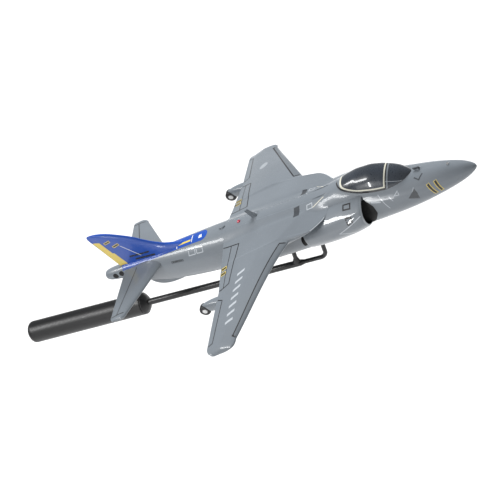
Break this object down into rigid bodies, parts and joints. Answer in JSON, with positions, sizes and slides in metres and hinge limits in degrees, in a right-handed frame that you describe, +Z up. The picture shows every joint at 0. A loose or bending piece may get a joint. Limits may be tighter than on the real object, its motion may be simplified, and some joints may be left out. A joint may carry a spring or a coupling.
{
  "type": "hand-held display model aircraft on a stick",
  "caption": "Carved swept-wing jump jet model with painted panel lines, riding on a bent-wire fork at the end of a black rod and round grip.",
  "frame": {"origin": "centre of the round grip on the stick's own axis", "axes": "+X to the aircraft's nose, +Y to its left wing, +Z up with the aircraft level; the stick dips 2.9 degrees towards the nose"},
  "size_m": [0.3845, 0.198, 0.082],
  "materials": {
    "grip_black": "turned dowel under gloss black lacquer",
    "wire_black": "steel rod and wire in satin black enamel",
    "body_grey": "carved wood under mid grey gloss lacquer",
    "wing_grey": "carved wood under mid grey semi-gloss lacquer",
    "canopy_gloss": "carved wood painted dark blue-grey under thick gloss lacquer",
    "frame_cream": "painted cream line",
    "fin_blue": "carved wood under blue gloss lacquer",
    "nozzle_black": "matt black",
    "wheel_black": "painted black with white hub",
    "beacon_red": "red gloss",
    "stud_metal": "small bright metal trim",
    "bare_wood": "bare hardwood dowel",
    "pin_metal": "plain steel pin",
    "bush_brass": "plain brass sleeve"
  },
  "bodies": {
    "stick": {"handle_grip": "grip_black", "handle_nose": "grip_black", "handle_butt": "grip_black", "main_rod": "wire_black", "fork_wire": "wire_black", "rear_post": "wire_black", "post_weld": "wire_black"},
    "aircraft": {"fuselage": "body_grey", "prong_bush_front": "bush_brass", "prong_bush_rear": "bush_brass", "windscreen": "canopy_gloss", "canopy_bow": "frame_cream", "canopy_hood": "canopy_gloss", "intake_cowl_right": "body_grey", "intake_cowl_left": "body_grey", "front_nozzle_right": "nozzle_black", "front_nozzle_left": "nozzle_black", "rear_nozzle_right": "nozzle_black", "rear_nozzle_left": "nozzle_black", "wing_right": "wing_grey", "wing_left": "wing_grey", "wing_dowel_right": "bare_wood", "wing_dowel_left": "bare_wood", "fin": "fin_blue", "fin_pin": "pin_metal", "stabilator_right": "wing_grey", "stabilator_left": "wing_grey", "stab_pin": "pin_metal", "ventral_fin": "body_grey", "outrigger_pod_right": "body_grey", "outrigger_pod_left": "body_grey", "outrigger_wheel_right": "wheel_black", "outrigger_wheel_left": "wheel_black", "blade_antenna": "body_grey", "beacon": "beacon_red", "spine_blister": "body_grey", "nose_stud": "stud_metal", "yaw_vane": "stud_metal"}
  },
  "joints": [
    {"name": "lift_off_prongs", "type": "slide", "parent": "stick", "child": "aircraft", "axis": [0.2756, 0, 0.9613], "range_m": [0, 0.0178]}
  ]
}
